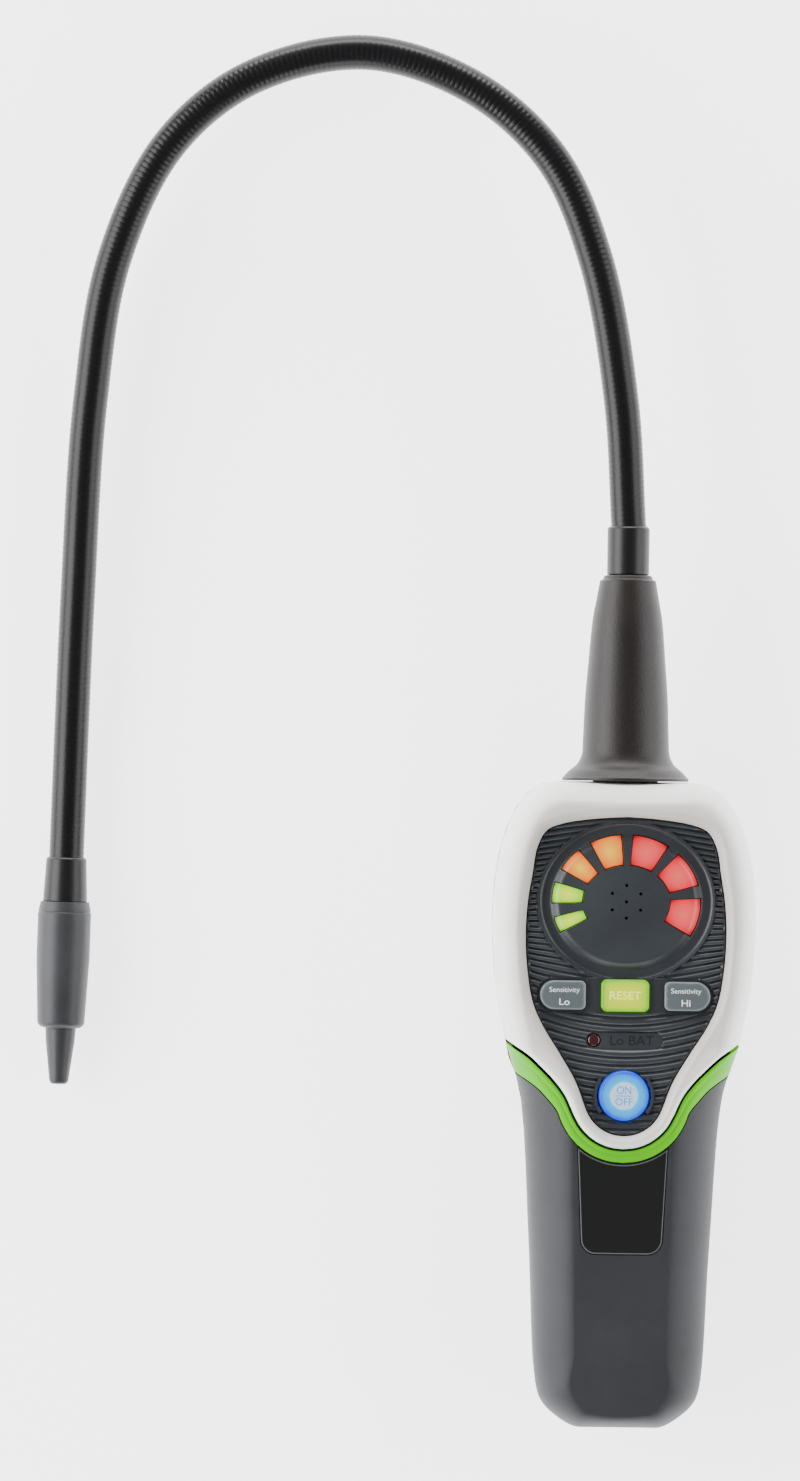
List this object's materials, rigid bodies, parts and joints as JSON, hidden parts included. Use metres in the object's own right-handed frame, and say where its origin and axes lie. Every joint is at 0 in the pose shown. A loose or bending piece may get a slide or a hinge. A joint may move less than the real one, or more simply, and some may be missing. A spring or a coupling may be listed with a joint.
{
  "type": "refrigerant leak detector",
  "caption": "Hand-held refrigerant leak detector with a lit bar display, push buttons, a battery bay and a bendable gooseneck that carries a sensor probe.",
  "frame": {"origin": "on the flat back of the handset, midway along its length and on its middle line", "axes": "+X to the right of the face, +Y from the handle towards the gooseneck, +Z out of the face; the detector lies on its back"},
  "size_m": [0.1875, 0.361, 0.05],
  "materials": {
    "white_shell": "satin moulded ABS, warm white",
    "green_trim": "satin lime green moulding",
    "dark_grip": "fine textured dark grey moulding",
    "panel_grey": "ribbed dark grey panel",
    "lamp_green": "lit translucent window, green",
    "lamp_orange": "lit translucent window, orange",
    "lamp_red": "lit translucent window, red",
    "low_lamp_red": "dark red clear LED lens",
    "button_grey": "printed grey key",
    "button_reset": "lit yellow-green key",
    "button_power": "lit sky blue key",
    "label_black": "smooth dark label",
    "boot_rubber": "fine grained dark rubber",
    "neck_black": "black shrink tube over a coiled neck",
    "probe_grey": "matt mid grey moulding",
    "steel": "plain zinc plated steel",
    "board_green": "glass fibre circuit board",
    "membrane_grey": "silicone keypad",
    "speaker_black": "moulded sounder case",
    "cell_wrap": "plain wrapped AA cell",
    "sensor_brass": "brass sensor can"
  },
  "bodies": {
    "handset": {"rear_housing": "dark_grip", "front_grip": "dark_grip", "name_label": "label_black", "front_bezel": "white_shell", "accent_trim": "green_trim", "control_panel": "panel_grey", "led_window_1": "lamp_green", "led_window_2": "lamp_green", "led_window_3": "lamp_orange", "led_window_4": "lamp_orange", "led_window_5": "lamp_red", "led_window_6": "lamp_red", "led_window_7": "lamp_red", "low_battery_lamp": "low_lamp_red", "circuit_board": "board_green", "keypad_membrane": "membrane_grey", "speaker": "speaker_black", "housing_screw_1": "steel", "housing_screw_2": "steel", "housing_screw_3": "steel", "housing_screw_4": "steel", "battery_1": "cell_wrap", "battery_2": "cell_wrap", "battery_3": "cell_wrap", "battery_4": "cell_wrap", "battery_contact_lower": "steel", "battery_contact_upper": "steel", "neck_boot": "boot_rubber", "base_sleeve": "neck_black", "neck_nut": "steel", "gooseneck_root": "neck_black"},
    "battery_door": {"battery_door": "dark_grip"},
    "sensitivity_lo_button": {"sensitivity_lo_button": "button_grey"},
    "reset_button": {"reset_button": "button_reset"},
    "sensitivity_hi_button": {"sensitivity_hi_button": "button_grey"},
    "power_button": {"power_button": "button_power"},
    "neck_1": {"gooseneck_link_1": "neck_black"},
    "neck_2": {"gooseneck_link_2": "neck_black"},
    "neck_3": {"gooseneck_link_3": "neck_black"},
    "neck_4": {"gooseneck_link_4": "neck_black"},
    "neck_5": {"gooseneck_link_5": "neck_black"},
    "neck_6": {"gooseneck_link_6": "neck_black"},
    "neck_7": {"gooseneck_link_7": "neck_black"},
    "neck_8": {"gooseneck_link_8": "neck_black"},
    "neck_9": {"gooseneck_link_9": "neck_black"},
    "probe": {"gooseneck_tip": "neck_black", "tip_sleeve": "neck_black", "sensor_barrel": "probe_grey", "barrel_set_screw": "steel", "sensor_nozzle": "probe_grey", "sensor_element": "sensor_brass"}
  },
  "joints": [
    {"name": "battery_door_slide", "type": "slide", "parent": "handset", "child": "battery_door", "axis": [0, -1, 0], "range_m": [0, 0.055]},
    {"name": "sensitivity_lo_press", "type": "slide", "parent": "handset", "child": "sensitivity_lo_button", "axis": [0, 0, -1], "range_m": [0, 0.0008], "stiffness_N_per_m": 600},
    {"name": "reset_press", "type": "slide", "parent": "handset", "child": "reset_button", "axis": [0, 0, -1], "range_m": [0, 0.0008], "stiffness_N_per_m": 600},
    {"name": "sensitivity_hi_press", "type": "slide", "parent": "handset", "child": "sensitivity_hi_button", "axis": [0, 0, -1], "range_m": [0, 0.0008], "stiffness_N_per_m": 600},
    {"name": "power_press", "type": "slide", "parent": "handset", "child": "power_button", "axis": [0, 0, -1], "range_m": [0, 0.0008], "stiffness_N_per_m": 600},
    {"name": "neck_lift", "type": "hinge", "parent": "handset", "child": "neck_1", "pos_m": [-0.00044, 0.15709, 0.024], "axis": [1, 0, 0], "range_deg": [-45, 45]},
    {"name": "neck_bend_2", "type": "hinge", "parent": "neck_1", "child": "neck_2", "pos_m": [-0.00501, 0.20036, 0.0234], "axis": [0, 0, 1], "range_deg": [-20, 3]},
    {"name": "neck_bend_3", "type": "hinge", "parent": "neck_2", "child": "neck_3", "pos_m": [-0.01846, 0.24157, 0.02181], "axis": [0, 0, 1], "range_deg": [-35, 2]},
    {"name": "neck_bend_4", "type": "hinge", "parent": "neck_3", "child": "neck_4", "pos_m": [-0.05153, 0.26871, 0.01951], "axis": [0, 0, 1], "range_deg": [-45, 2]},
    {"name": "neck_bend_5", "type": "hinge", "parent": "neck_4", "child": "neck_5", "pos_m": [-0.09398, 0.26877, 0.01679], "axis": [0, 0, 1], "range_deg": [-45, 2]},
    {"name": "neck_bend_6", "type": "hinge", "parent": "neck_5", "child": "neck_6", "pos_m": [-0.12618, 0.24086, 0.01394], "axis": [0, 0, 1], "range_deg": [-38, 2]},
    {"name": "neck_bend_7", "type": "hinge", "parent": "neck_6", "child": "neck_7", "pos_m": [-0.13909, 0.19953, 0.01124], "axis": [0, 0, 1], "range_deg": [-25, 3]},
    {"name": "neck_bend_8", "type": "hinge", "parent": "neck_7", "child": "neck_8", "pos_m": [-0.14277, 0.15615, 0.009], "axis": [0, 0, 1], "range_deg": [-15, 5]},
    {"name": "neck_bend_9", "type": "hinge", "parent": "neck_8", "child": "neck_9", "pos_m": [-0.14441, 0.11263, 0.00749], "axis": [0, 0, 1], "range_deg": [-15, 6]},
    {"name": "probe_tilt", "type": "hinge", "parent": "neck_9", "child": "probe", "pos_m": [-0.14562, 0.0691, 0.007], "axis": [1, 0, 0], "range_deg": [-45, 45]}
  ]
}
